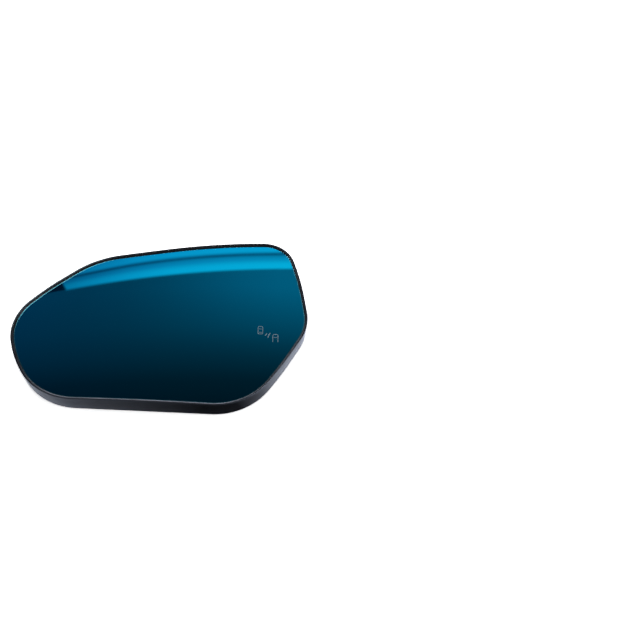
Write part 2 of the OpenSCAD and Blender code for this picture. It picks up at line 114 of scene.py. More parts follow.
class RimSettings(bpy.types.PropertyGroup):
    """Sizes and colours of the carrier."""

    lip: length("Lip width", "Width of the lip round the glass", 0.002)
    rise: length("Lip rise", "Rise of the lip's crest over the glass", 0.0005)
    rounding: length("Lip rounding", "Radius of the lip's rounded outer edge", 0.0009)
    fall: length("Lip fall", "Fall of the lip's face from its crest to the glass", 0.00016)
    draft: length("Draft", "Inward draft of the wall from the lip to the back edge", 0.0014)
    wall: length("Wall", "Thickness of the wall", 0.002)
    depth: length("Seat depth", "Depth of the glass seat below the front", 0.00305)
    plastic: colour("Plastic", "Colour of the moulded plastic", (0.0035, 0.0042, 0.0058))


class StageSettings(bpy.types.PropertyGroup):
    """Camera, lights and the studio that the mirror shows."""

    pitch: bpy.props.FloatProperty(
        name="Camera pitch", description="Angle of the view below the horizon",
        default=math.radians(56.0), subtype="ANGLE",
    )
    distance: length("Camera distance", "From the camera to the crown's plane, along the view", 0.805)
    offset: length("Camera offset", "How far right of the mirror's middle the camera stands", 0.10337)
    lens: bpy.props.FloatProperty(
        name="Lens", description="Focal length on a 36 mm sensor", default=70.3, unit="CAMERA"
    )
    ceiling: length("Ceiling height", "Height of the studio ceiling over the floor", 1.0)
    softbox: share("Softbox", "Brightness of the softbox that the glass shows", 2.3, 10.0)
    ambient: share("Ambient", "Brightness of the surroundings on matt surfaces", 0.6)
    key: share("Key light", "Power of the large soft light, in watts", 9.0, 100.0)
    fill: share("Fill light", "Power of the soft light at the right, in watts", 2.5, 100.0)


# Geometry helpers


def corner_arc(a, b, c, inset, chord):
    """Points of the arc that rounds corner b between corners a and c, moved inwards."""
    p = Vector(b[:2])
    u = (p - Vector(a[:2])).normalized()
    v = (Vector(c[:2]) - p).normalized()
    start = math.atan2(-u.x, u.y)
    turn = (math.atan2(-v.x, v.y) - start) % math.tau
    middle = p + (v - u).normalized() * b[2] / math.cos(turn / 2)
    steps = math.ceil(turn / (2 * math.acos(1 - chord / b[2])))
    angles = [start + turn * i / steps for i in range(steps + 1)]
    return [middle + (b[2] - inset) * Vector((math.cos(t), math.sin(t))) for t in angles]


def outline(inset=0.0, chord=0.004):
    """Outline of the rim in metres, moved inwards by inset metres, with the same points at every inset."""
    n = len(RIM_CORNERS)
    points = []
    for i in range(n):
        points += corner_arc(RIM_CORNERS[i - 1], RIM_CORNERS[i], RIM_CORNERS[(i + 1) % n], inset / MM, chord)
    return [p * MM for p in points]


def evened(points, step):
    """The closed outline with its points about step apart."""
    out = []
    for i, p in enumerate(points):
        q = points[(i + 1) % len(points)]
        parts = max(1, round((q - p).length / step))
        out += [p.lerp(q, k / parts) for k in range(parts)]
    return out


def front_z(p, glass, below=0.0):
    """Height of the shell that lies below the glass front, at p."""
    r = glass.radius - below
    return glass.crown - glass.radius + math.sqrt(r * r - p.x * p.x - p.y * p.y)


def mesh_object(name, bm, material, smooth=None):
    """A scene object from a bmesh. Edges sharper than smooth stay sharp, and None keeps it flat."""
    mesh = bpy.data.meshes.new(name)
    if smooth is not None:
        for face in bm.faces:
            face.smooth = True
        for edge in bm.edges:
            if len(edge.link_faces) == 2 and edge.calc_face_angle(0.0) > smooth:
                edge.smooth = False
    bm.to_mesh(mesh)
    bm.free()
    mesh.materials.append(material)
    obj = bpy.data.objects.new(name, mesh)
    bpy.context.scene.collection.objects.link(obj)
    return obj


def rings_mesh(bm, rings):
    """Faces between successive closed rings of vertices."""
    for low, high in zip(rings, rings[1:]):
        for i in range(len(low)):
            j = (i + 1) % len(low)
            bm.faces.new((low[i], low[j], high[j], high[i]))


# Node helpers


def fill(tree, socket, value):
    """Links an input to a socket, or sets it to a plain value or a colour."""
    if isinstance(value, bpy.types.NodeSocket):
        tree.links.new(value, socket)
    else:
        socket.default_value = (*value, 1.0) if isinstance(value, tuple) else value


def add(tree, kind, inputs=None, **properties):
    """A new node with its properties set, and its inputs filled by name or number."""
    node = tree.nodes.new(kind)
    for key, value in properties.items():
        setattr(node, key, value)
    for key, value in (inputs or {}).items():
        fill(tree, node.inputs[key], value)
    return node


def math_node(tree, operation, a, b=None):
    """A Math node on one or two values, each a socket or a number."""
    values = {0: a} if b is None else {0: a, 1: b}
    return add(tree, "ShaderNodeMath", values, operation=operation).outputs[0]


def map_range(tree, value, low, high):
    """A value brought from low..high to 0..1 and held at the ends. Low and high are sockets or numbers."""
    inputs = {"Value": value, "From Min": low, "From Max": high}
    return add(tree, "ShaderNodeMapRange", inputs).outputs["Result"]


def ramp(tree, factor, stops):
    """A Color Ramp on a value, with stops as position and grey level or colour."""
    node = add(tree, "ShaderNodeValToRGB", {"Fac": factor})
    elements = node.color_ramp.elements
    while len(elements) < len(stops):
        elements.new(0.5)
    for element, (position, level) in zip(elements, stops):
        element.position = position
        element.color = (*level, 1.0) if isinstance(level, tuple) else (level, level, level, 1.0)
    return node.outputs["Color"]


def level_curve(tree, value, stops):
    """A level or colour that follows a value, given as stops of the value and the level."""
    low, high = stops[0][0], stops[-1][0]
    return ramp(tree, map_range(tree, value, low, high), [((at - low) / (high - low), e) for at, e in stops])


def mixed(tree, factor, a, b):
    """A Mix node on two colours, each a socket or a colour."""
    node = add(tree, "ShaderNodeMix", {"Factor": factor}, data_type="RGBA")
    colours = [s for s in node.inputs if s.type == "RGBA"]
    fill(tree, colours[0], a)
    fill(tree, colours[1], b)
    return [s for s in node.outputs if s.type == "RGBA"][0]


def object_xy(tree):
    """X and Y of a surface in its object's own coordinates."""
    place = add(tree, "ShaderNodeTexCoord").outputs["Object"]
    axes = add(tree, "ShaderNodeSeparateXYZ", {"Vector": place}).outputs
    return axes["X"], axes["Y"]


def noise(tree, scale, **values):
    """Noise in the object's own coordinates."""
    place = add(tree, "ShaderNodeTexCoord").outputs["Object"]
    return add(tree, "ShaderNodeTexNoise", {"Vector": place, "Scale": scale, **values}).outputs["Fac"]


def shader_group(name, inputs, outputs):
    """A shader node group, its input sockets and its output sockets.

    The inputs are given as name to default, and the outputs as name to type.
    """
    tree = bpy.data.node_groups.new(name, "ShaderNodeTree")
    for key, value in inputs.items():
        kind = "NodeSocketColor" if isinstance(value, tuple) else "NodeSocketFloat"
        fill(tree, tree.interface.new_socket(key, in_out="INPUT", socket_type=kind), value)
    for key, kind in outputs.items():
        tree.interface.new_socket(key, in_out="OUTPUT", socket_type=kind)
    return tree, add(tree, "NodeGroupInput").outputs, add(tree, "NodeGroupOutput").inputs


def grain_group():
    """Fine moulded grain: a height and a roughness that follow a noise."""
    name = "Moulded grain"
    if name in bpy.data.node_groups:
        return bpy.data.node_groups[name]
    inputs = {"Grain Size": 0.4 * MM, "Smooth Roughness": 0.35, "Rough Roughness": 0.5}
    outputs = {"Height": "NodeSocketFloat", "Roughness": "NodeSocketFloat"}
    tree, start, end = shader_group(name, inputs, outputs)
    maths = partial(math_node, tree)
    scale = maths("DIVIDE", 1.0, start["Grain Size"])
    fine = noise(tree, scale, Detail=3.0, Roughness=0.6)
    broad = noise(tree, maths("MULTIPLY", scale, 0.03), Detail=2.0)
    spread = add(tree, "ShaderNodeMapRange", {
        "Value": maths("ADD", maths("MULTIPLY", fine, 0.5), maths("MULTIPLY", broad, 0.5)),
        "From Min": 0.35, "From Max": 0.65,
        "To Min": start["Smooth Roughness"], "To Max": start["Rough Roughness"],
    })
    fill(tree, end["Height"], fine)
    fill(tree, end["Roughness"], spread.outputs["Result"])
    return tree


def mottle_group():
    """Slow variation of a colour between two tones."""
    name = "Tone variation"
    if name in bpy.data.node_groups:
        return bpy.data.node_groups[name]
    inputs = {"Tone A": (0.5, 0.5, 0.5), "Tone B": (0.6, 0.6, 0.6), "Patch Size": 8 * MM}
    tree, start, end = shader_group(name, inputs, {"Color": "NodeSocketColor"})
    patches = noise(tree, math_node(tree, "DIVIDE", 1.0, start["Patch Size"]), Detail=4.0, Roughness=0.55)
    tone = mixed(tree, map_range(tree, patches, 0.3, 0.7), start["Tone A"], start["Tone B"])
    fill(tree, end["Color"], tone)
    return tree


def new_material(name):
    """A material with its node tree and its Principled node."""
    material = bpy.data.materials.new(name)
    material.use_nodes = True
    return material, material.node_tree, material.node_tree.nodes["Principled BSDF"]


def grained(tree, bsdf, size, rough):
    """Puts the grain in a shader's roughness, and returns the grain's outputs."""
    skin = add(tree, "ShaderNodeGroup", {
        "Grain Size": size, "Smooth Roughness": rough[0], "Rough Roughness": rough[1],
    }, node_tree=grain_group())
    fill(tree, bsdf.inputs["Roughness"], skin.outputs["Roughness"])
    return skin.outputs


def finish_material(name, tones, patch=8 * MM, grain=0.4 * MM, rough=(0.35, 0.5), depth=0.0, **shader):
    """A material with two tones, a grain in its roughness and bump, and plain values on the shader."""
    material, tree, bsdf = new_material(name)
    tone = add(tree, "ShaderNodeGroup", {
        "Tone A": tones[0], "Tone B": tones[1], "Patch Size": patch,
    }, node_tree=mottle_group())
    fill(tree, bsdf.inputs["Base Color"], tone.outputs["Color"])
    skin = grained(tree, bsdf, grain, rough)
    if depth:
        bump = add(tree, "ShaderNodeBump", {"Strength": 1.0, "Distance": depth, "Height": skin["Height"]})
        fill(tree, bsdf.inputs["Normal"], bump.outputs["Normal"])
    for key, value in shader.items():
        fill(tree, bsdf.inputs[key.replace("_", " ")], value)
    return material


# Materials


def shade(tone, factor):
    """A colour made lighter or darker."""
    return tuple(c * factor for c in tone)


def moulded_black():
    """Black moulded plastic with a fine satin grain."""
    tone = bpy.context.scene.mirror_rim.plastic
    return finish_material(
        "Moulded black plastic", (shade(tone, 0.85), shade(tone, 1.2)), patch=12 * MM,
        grain=0.35 * MM, rough=(0.12, 0.24), depth=0.004 * MM, Specular_IOR_Level=0.5,
        Specular_Tint=(0.78, 0.88, 1.0),
    )


def blue_mirror():
    """Blue mirror coating, a little more violet at the inner end and greener at the outer end."""
    tint = bpy.context.scene.mirror_glass.tint
    inner_green, outer_green = 0.82, 1.06
    material, tree, bsdf = new_material("Blue mirror coating")
    along = map_range(tree, object_xy(tree)[0], CAD_BOX[0][0], CAD_BOX[1][0])
    fill(tree, bsdf.inputs["Base Color"], ramp(tree, along, (
        (0.0, (tint[0], tint[1] * inner_green, tint[2])), (0.55, tuple(tint)),
        (1.0, (tint[0], tint[1] * outer_green, tint[2])),
    )))
    grained(tree, bsdf, 6 * MM, (0.015, 0.03))
    bsdf.inputs["Metallic"].default_value = 1.0
    return material


def ground_edge():
    """Ground glass edge, greenish and satin."""
    tone = bpy.context.scene.mirror_glass.edge_tint
    return finish_material(
        "Ground glass edge", (shade(tone, 0.9), shade(tone, 1.1)), patch=1.5 * MM,
        grain=0.1 * MM, rough=(0.12, 0.2), Metallic=1.0,
    )


# Pieces


def moved_inwards(points, distance):
    """Each point of a closed outline moved straight inwards."""
    n = len(points)
    out = []
    for i, p in enumerate(points):
        along = (points[(i + 1) % n] - points[i - 1]).normalized()
        out.append(p + Vector((-along.y, along.x)) * distance)
    return out


# Tilt of the ground bevel away from the glass.
BEVEL_TILT = math.radians(8)
# The glass sits this far off the middle of the rim, so the lip is widest at the upper left.
GLASS_SHIFT = Vector((0.25, -0.7)) * MM


def glass_piece(glass):
    """Glass as a closed solid: spherical front with a ground bevel, edge and spherical back."""
    bm = bmesh.new()
    edge = [p + GLASS_SHIFT for p in evened(outline(glass.inset), 1.2 * MM)]
    bevel = glass.bevel
    centre = Vector((0.0, 0.0))

    def ring(points, below):
        return [bm.verts.new((p.x, p.y, front_z(p, glass, below))) for p in points]

    front_steps, back_steps = 48, 12
    top = moved_inwards(edge, bevel)
    rings = [ring([centre.lerp(p, k / back_steps) for p in edge], glass.thickness)
             for k in range(1, back_steps + 1)]
    # A narrow arris leads from the edge to the ground bevel.
    rings.append(ring(edge, bevel * 0.4))
    rings.append(ring(moved_inwards(edge, bevel * 0.2), bevel * 0.8 * math.tan(BEVEL_TILT)))
    rings += [ring([centre.lerp(p, k / front_steps) for p in top], 0.0) for k in range(front_steps, 0, -1)]
    rings_mesh(bm, rings)
    for last, below in ((rings[0], glass.thickness), (rings[-1], 0.0)):
        middle = bm.verts.new((0.0, 0.0, front_z(centre, glass, below)))
        n = len(last)
        for i in range(n):
            bm.faces.new((middle, last[i], last[(i + 1) % n]))
    ground = {v for r in rings[back_steps - 1:back_steps + 3] for v in r}
    bmesh.ops.recalc_face_normals(bm, faces=bm.faces[:])
    for face in bm.faces:
        face.material_index = int(all(v in ground for v in face.verts))
    pane = mesh_object("mirror_pane", bm, blue_mirror(), smooth=math.radians(5))
    pane.data.materials.append(ground_edge())
    return pane


class MIRROR_OT_glass(bpy.types.Operator):
    """Make the glass with its ground bevel"""

    bl_idname = "door_mirror.glass"
    bl_label = "Glass"

    def execute(self, context):
        pane = glass_piece(context.scene.mirror_glass)
        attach(pane, "root")
        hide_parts("mirror_glass")
        return {"FINISHED"}


def stroke(bm, path, width, glass, lift, closed=False):
    """A flat line of the symbol along a path, laid on the glass."""
    n = len(path)
    left, right = [], []
    for i, p in enumerate(path):
        before = path[i - 1] if closed or i else p
        after = path[(i + 1) % n] if closed or i < n - 1 else p
        u = (p - before).normalized() if p != before else (after - p).normalized()
        v = (after - p).normalized() if after != p else u
        mitre = (u + v).normalized()
        side = Vector((-mitre.y, mitre.x)) * (width / 2) / max(0.5, mitre.dot(u))
        for row, q in ((left, p + side), (right, p - side)):
            row.append(bm.verts.new((q.x, q.y, front_z(q, glass) + lift)))
    spans = range(n if closed else n - 1)
    for i in spans:
        j = (i + 1) % n
        bm.faces.new((left[i], right[i], right[j], left[j]))


def rounded_path(corners, closed, steps=6):
    """A path through corners x, y, r, each rounded by its radius."""
    out = []
    n = len(corners)
    for i, (x, y, r) in enumerate(corners):
        p = Vector((x, y))
        if not closed and i in (0, n - 1) or r == 0:
            out.append(p)
            continue
        a = (Vector(corners[i - 1][:2]) - p).normalized()
        b = (Vector(corners[(i + 1) % n][:2]) - p).normalized()
        half = a.angle(b) / 2
        reach = r / math.tan(half)
        middle = p + (a + b).normalized() * r / math.sin(half)
        start = p + a * reach - middle
        turn = start.angle_signed(p + b * reach - middle)
        for k in range(steps + 1):
            t = -turn * k / steps
            out.append(middle + Vector((
                start.x * math.cos(t) - start.y * math.sin(t),
                start.x * math.sin(t) + start.y * math.cos(t),
            )))
    return out


# Middle of the warning symbol, and the middle of each car from there, in mm.
SYMBOL_AT = Vector((70.0, -9.0))
CLOSED_CAR = Vector((-4.9, 1.9))
OPEN_CAR = Vector((4.8, -4.0))


def symbol_paths():
    """The symbol's lines: a path in mm from its middle, whether it closes, and its share of the width."""
    w, l = 1.5, 2.9
    body = [(-w, -l, 0.5), (w, -l, 0.5), (w, l, 1.2), (-w, l, 1.2)]
    paths = [([q + CLOSED_CAR for q in rounded_path(body, True)], True, 0.85)]
    for y, half in ((0.9, 0.75), (-1.7, 0.9)):
        paths.append(([CLOSED_CAR + Vector((-half, y)), CLOSED_CAR + Vector((half, y))], False, 0.8))
    w, l = 1.65, 2.9
    body = [(-w, -l, 0), (-w, l, 1.1), (w, l, 1.1), (w, -l, 0)]
    paths.append(([q + OPEN_CAR for q in rounded_path(body, False)], False, 0.85))
    paths.append(([OPEN_CAR + Vector((-1.0, 0.6)), OPEN_CAR + Vector((1.0, 0.6))], False, 0.8))
    paths.append(([Vector((-1.8, -2.2)), Vector((-0.6, -0.5))], False, 1.2))
    paths.append(([Vector((-0.1, -3.6)), Vector((1.4, -0.1))], False, 1.2))
    return paths


class MIRROR_OT_symbol(bpy.types.Operator):
    """Make the etched warning symbol of two cars"""

    bl_idname = "door_mirror.symbol"
    bl_label = "Warning symbol"

    def execute(self, context):
        glass = context.scene.mirror_glass
        bm = bmesh.new()
        for path, closed, share_of_width in symbol_paths():
            placed = [(q + SYMBOL_AT) * MM for q in path]
            stroke(bm, placed, glass.line_width * share_of_width, glass, 0.012 * MM, closed)
        bmesh.ops.recalc_face_normals(bm, faces=bm.faces[:])
        if sum(f.normal.z for f in bm.faces) < 0:
            bmesh.ops.reverse_faces(bm, faces=bm.faces[:])
        tone = glass.line_colour
        etched = finish_material(
            "Etched symbol", (shade(tone, 0.85), shade(tone, 1.15)), patch=0.6 * MM,
            grain=0.1 * MM, rough=(0.55, 0.7),
        )
        lines = mesh_object("warning_symbol", bm, etched, smooth=math.radians(30))
        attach(lines, "root")
        return {"FINISHED"}


def geometry_tree(name, inputs):
    """A geometry node tree with a geometry in and out, its input sockets and its last socket.

    The other inputs are given as name to type, or as name to default for a number.
    """
    tree = bpy.data.node_groups.new(name, "GeometryNodeTree")
    for key, value in {"Geometry": "Geometry", **inputs}.items():
        kind = value if isinstance(value, str) else "Float"
        sock = tree.interface.new_socket(key, in_out="INPUT", socket_type="NodeSocket" + kind)
        if kind == "Float":
            sock.default_value = value
    tree.interface.new_socket("Geometry", in_out="OUTPUT", socket_type="NodeSocketGeometry")
    return tree, add(tree, "NodeGroupInput").outputs, add(tree, "NodeGroupOutput").inputs["Geometry"]


def captured(tree, geometry, value):
    """The geometry with a vector field kept on its points, and that field."""
    node = add(tree, "GeometryNodeCaptureAttribute")
    node.capture_items.new("VECTOR", "Value")
    fill(tree, node.inputs["Geometry"], geometry)
    fill(tree, node.inputs["Value"], value)
    return node.outputs["Geometry"], node.outputs["Value"]


def painted(tree, geometry, material, end):
    """Ends a tree with real geometry in its material."""
    real = add(tree, "GeometryNodeRealizeInstances", {"Geometry": geometry})
    paint = add(tree, "GeometryNodeSetMaterial", {"Geometry": real.outputs["Geometry"], "Material": material})
    fill(tree, end, paint.outputs["Geometry"])


def rim_tree():
    """Geometry nodes that sweep the rim's section along the outline, with its lip on the glass's sphere.

    The section is a curve with inset as x and height over the back edge, at the edge height, as y. Above
    the glass's back, its points move with the glass: not at all at the outer edge, and in full at the
    lip's width.
    """
    tree, start, end = geometry_tree("Rim sweep", {
        "Section": "Object", "Material": "Material", "Glass Radius": 1.3, "Crown Height": 0.016,
        "Edge Height": 0.014, "Follow From": 0.002, "Follow To": 0.010, "Glass Back": 0.012,
        "Lip Width": 0.002, "Lip Fall": 0.0002, "Lip Crest": 0.001, "Glass Shift": "Vector",
    })
    node, maths, ranged = partial(add, tree), partial(math_node, tree), partial(map_range, tree)

    def vectors(operation, a, b):
        """Vector maths on a vector and another vector, or a factor for SCALE."""
        inputs = {0: a, "Scale" if operation == "SCALE" else 1: b}
        outputs = node("ShaderNodeVectorMath", inputs, operation=operation).outputs
        return outputs["Value" if operation == "DOT_PRODUCT" else "Vector"]

    place = node("GeometryNodeInputPosition").outputs["Position"]
    rail, rail_place = captured(tree, start["Geometry"], place)
    rail, tangent = captured(tree, rail, node("GeometryNodeInputTangent").outputs["Tangent"])
    section = node("GeometryNodeObjectInfo", {"Object": start["Section"]}).outputs["Geometry"]
    profile, profile_place = captured(tree, section, place)
    sweep = node("GeometryNodeCurveToMesh", {"Curve": rail, "Profile Curve": profile}).outputs["Mesh"]
    up = node("FunctionNodeInputVector", vector=(0.0, 0.0, 1.0)).outputs["Vector"]
    inward = vectors("CROSS_PRODUCT", up, tangent)
    own = node("ShaderNodeSeparateXYZ", {"Vector": profile_place}).outputs
    inset, height = own["X"], own["Y"]
    moved = vectors("ADD", rail_place, vectors("SCALE", inward, inset))

    shift, lip_width = start["Glass Shift"], start["Lip Width"]
    beside_glass = ranged(height, start["Follow To"], start["Glass Back"])
    across_lip = maths("MINIMUM", maths("DIVIDE", inset, lip_width), 1.0)
    moved = vectors("ADD", moved, vectors("SCALE", shift, maths("MULTIPLY", beside_glass, across_lip)))
    # The lip's inner face keeps its slope where the lip is wider or narrower.
    widening = maths("DIVIDE", vectors("DOT_PRODUCT", shift, inward), lip_width)
    past_crest = maths("MULTIPLY", beside_glass, ranged(inset, start["Lip Crest"], lip_width))
    lowered = maths("MULTIPLY", maths("MULTIPLY", widening, start["Lip Fall"]), past_crest)

    flat = node("ShaderNodeSeparateXYZ", {"Vector": moved}).outputs
    radius = start["Glass Radius"]
    off_axis = maths("ADD", maths("MULTIPLY", flat["X"], flat["X"]), maths("MULTIPLY", flat["Y"], flat["Y"]))
    rise = maths("SQRT", maths("SUBTRACT", maths("MULTIPLY", radius, radius), off_axis))
    sphere = maths("ADD", rise, maths("SUBTRACT", start["Crown Height"], radius))
    lift = maths("SUBTRACT", sphere, start["Edge Height"])
    follow = ranged(height, start["Follow From"], start["Follow To"])
    z = maths("SUBTRACT", maths("ADD", height, maths("MULTIPLY", lift, follow)), lowered)
    spot = node("ShaderNodeCombineXYZ", {"X": flat["X"], "Y": flat["Y"], "Z": z}).outputs["Vector"]
    put = node("GeometryNodeSetPosition", {"Geometry": sweep, "Position": spot}).outputs["Geometry"]
    painted(tree, put, start["Material"], end)
    return tree


def poly_curve(name, points, closed=True):
    """A poly curve through points, linked to the scene."""
    data = bpy.data.curves.new(name, "CURVE")
    data.dimensions = "3D"
    spline = data.splines.new("POLY")
    spline.points.add(len(points) - 1)
    for slot, p in zip(spline.points, points):
        slot.co = (p.x, p.y, 0.0, 1.0)
    spline.use_cyclic_u = closed
    obj = bpy.data.objects.new(name, data)
    bpy.context.scene.collection.objects.link(obj)
    return obj


# Where the lip's rounded shoulder ends, and the crest begins and ends, as shares of the lip's width.
LIP_SHARES = (0.30, 0.52, 0.55)
# Tilt of the lip's narrow outer face.
FACE_TILT = math.radians(14)


def rim_section(rim, edge_height, glass_back):
    """The rim's closed section: x is the inset, y the height where the glass front is at edge_height.

    The lip has a rounded shoulder, a narrow face that tilts outwards, and a face that falls to the glass.
    """
    foot = 0.3 * MM
    crest = edge_height + rim.rise
    back = rim.draft + rim.wall
    shoulder, outer, inner = (rim.lip * part for part in LIP_SHARES)
    drop = (outer - shoulder) * math.tan(FACE_TILT)
    end = rim.lip * 0.97
    section = [(rim.draft + foot, 0.0), (rim.draft + foot * 0.3, foot * 0.3), (rim.draft, foot)]
    for turn in (math.pi / 2 * k / 8 for k in range(9)):
        below = rim.rounding * 0.8 * (1 - math.sin(turn))
        section.append((shoulder * (1 - math.cos(turn)), crest - drop - below))
    section += [(shoulder + (outer - shoulder) * k, crest - drop * (1 - k)) for k in (0.2, 0.8, 1.0)]
    section += [(inner + (end - inner) * k, crest - rim.fall * k) for k in (0.0, 0.1, 0.9, 1.0)]
    section += [
        (rim.lip, crest - 1.5 * rim.fall), (rim.lip, glass_back), (rim.lip, edge_height - rim.depth),
        (back, foot), (back - foot, 0.0),
    ]
    return [Vector(p) for p in section]


def inset_of(p, edge):
    """Distance from p to the outline, both in the XY plane."""
    best = 1.0
    for i, a in enumerate(edge):
        b = edge[(i + 1) % len(edge)]
        ab = b - a
        t = max(0.0, min(1.0, (p - a).dot(ab) / ab.length_squared))
        best = min(best, (p - a - ab * t).length)
    return best


def inner_structure(rim):
    """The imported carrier's mesh without the surfaces of its rim, merged."""
    bm = bmesh.new()
    bm.from_mesh(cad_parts["carrier"].data)
    bmesh.ops.remove_doubles(bm, verts=bm.verts[:], dist=1e-6)
    edge = [Vector(p) for p in outline(0.0, chord=0.04)]
    near = {v: inset_of(v.co.xy, edge) for v in bm.verts}
    thickest = rim.draft + rim.wall
    seat_height, slack = 0.0105, 0.12 * MM
    doomed = []
    for face in bm.faces:
        middle = face.calc_center_median()
        wall_inset = rim.lip + (thickest - rim.lip) * max(0.0, 1 - middle.z / seat_height)
        if max(near[v] for v in face.verts) < thickest + 0.1 * MM:
            if inset_of(middle.xy, edge) < wall_inset + slack:
                doomed.append(face)
    bmesh.ops.delete(bm, geom=doomed, context="FACES")
    return bm


class MIRROR_OT_carrier(bpy.types.Operator):
    """Make the carrier: a swept rim with its lip, and the plate with its ring, claws and ribs"""

    bl_idname = "door_mirror.carrier"
    bl_label = "Carrier"

    def execute(self, context):
        rim, glass = context.scene.mirror_rim, context.scene.mirror_glass
        # The section is drawn for this height of the glass front, and moved to the real one all round.
        edge_height = 0.014
        glass_back = edge_height - glass.thickness - 0.1 * MM
        black = moulded_black()
        rail = poly_curve("rim_outline", evened(outline(0.0), 1.2 * MM))
        section = poly_curve("rim_section", rim_section(rim, edge_height, glass_back))
        modifier = rail.modifiers.new("Rim sweep", "NODES")
        modifier.node_group = rim_tree()
        values = {
            "Section": section, "Material": black, "Glass Radius": glass.radius,
            "Crown Height": glass.crown, "Edge Height": edge_height,
            "Follow From": 0.5 * MM, "Follow To": edge_height - rim.depth, "Glass Back": glass_back,
            "Lip Width": rim.lip, "Lip Fall": rim.fall, "Lip Crest": rim.lip * LIP_SHARES[2],
            "Glass Shift": (*GLASS_SHIFT, 0.0),
        }
        set_inputs(modifier, values)
        swept = evaluated_mesh(rail)
        bpy.data.objects.remove(section)
        bm = bmesh.new()
        bm.from_mesh(swept)
        bmesh.ops.recalc_face_normals(bm, faces=bm.faces[:])
        inner = inner_structure(rim)
        spare = bpy.data.meshes.new("inner")
        inner.to_mesh(spare)
        inner.free()
        bm.from_mesh(spare)
        for face in bm.faces:
            face.material_index = 0
        body = mesh_object("carrier_body", bm, black, smooth=math.radians(32))
        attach(body, "root")
        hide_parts("carrier")
        return {"FINISHED"}


def evaluated_mesh(obj):
    """The mesh that an object's modifiers make. The object itself is removed."""
    bpy.context.view_layer.update()
    graph = bpy.context.evaluated_depsgraph_get()
    mesh = bpy.data.meshes.new_from_object(obj.evaluated_get(graph))
    obj.modifiers.clear()
    bpy.data.objects.remove(obj)
    return mesh


def fastener_tree():
    """Geometry nodes that turn a section round Z, cut a cross recess, and place the piece on each point.

    The section is a curve with the radius as x and the height as y. The recess is cut into its lowest face.
    """
    tree, start, end = geometry_tree("Turned fastener", {
        "Section": "Object", "Material": "Material", "Recessed": "Bool", "Recess Length": 2.8 * MM,
        "Recess Width": 0.55 * MM, "Recess Depth": 0.7 * MM, "Head Height": 1.4 * MM,
    })
    node, maths = partial(add, tree), partial(math_node, tree)

    place = node("GeometryNodeInputPosition").outputs["Position"]
    shape = node("GeometryNodeObjectInfo", {"Object": start["Section"]}).outputs["Geometry"]
    circle = node("GeometryNodeCurvePrimitiveCircle", {"Resolution": 40, "Radius": 1.0}).outputs["Curve"]
    profile, profile_place = captured(tree, shape, place)
    rail, outward = captured(tree, circle, place)
    turned = node("GeometryNodeCurveToMesh", {"Curve": rail, "Profile Curve": profile}).outputs["Mesh"]
    axes = node("ShaderNodeSeparateXYZ", {"Vector": profile_place}).outputs
    spoke = node("ShaderNodeSeparateXYZ", {"Vector": outward}).outputs
    spot = node("ShaderNodeCombineXYZ", {
        "X": maths("MULTIPLY", spoke["X"], axes["X"]), "Y": maths("MULTIPLY", spoke["Y"], axes["X"]),
        "Z": axes["Y"],
    }).outputs["Vector"]
    put = node("GeometryNodeSetPosition", {"Geometry": turned, "Position": spot}).outputs["Geometry"]
    body = node("GeometryNodeMergeByDistance", {"Geometry": put, "Distance": 1e-6}).outputs["Geometry"]

    depth = maths("MULTIPLY", start["Recess Depth"], 2.0)
    slots = node("GeometryNodeJoinGeometry")
    for x, y in (("Recess Length", "Recess Width"), ("Recess Width", "Recess Length")):
        size = node("ShaderNodeCombineXYZ", {"X": start[x], "Y": start[y], "Z": depth}).outputs["Vector"]
        fill(tree, slots.inputs["Geometry"], node("GeometryNodeMeshCube", {"Size": size}).outputs["Mesh"])
    low = node("ShaderNodeCombineXYZ", {"Z": maths("MULTIPLY", start["Head Height"], -1.0)}).outputs["Vector"]
    sunk = node("GeometryNodeTransform", {"Geometry": slots.outputs["Geometry"], "Translation": low})
    recess = node("GeometryNodeMeshBoolean", {
        "Mesh 1": body, "Mesh 2": sunk.outputs["Geometry"], "Self Intersection": True,
    }, operation="DIFFERENCE", solver="EXACT")
    choice = node("GeometryNodeSwitch", {
        "Switch": start["Recessed"], "False": body, "True": recess.outputs["Mesh"],
    }, input_type="GEOMETRY")

    index = node("GeometryNodeInputIndex").outputs["Index"]
    turn = node("ShaderNodeCombineXYZ", {"Z": maths("ADD", maths("MULTIPLY", index, 0.55), 0.3)})
    placed = node("GeometryNodeInstanceOnPoints", {
        "Points": start["Geometry"], "Instance": choice.outputs["Output"], "Rotation": turn.outputs["Vector"],
    })
    painted(tree, placed.outputs["Instances"], start["Material"], end)
    return tree


def set_inputs(modifier, values):
    """Sets a geometry nodes modifier's inputs by their names."""
    for item in modifier.node_group.interface.items_tree:
        if item.item_type == "SOCKET" and item.in_out == "INPUT" and item.name in values:
            modifier[item.identifier] = values[item.name]


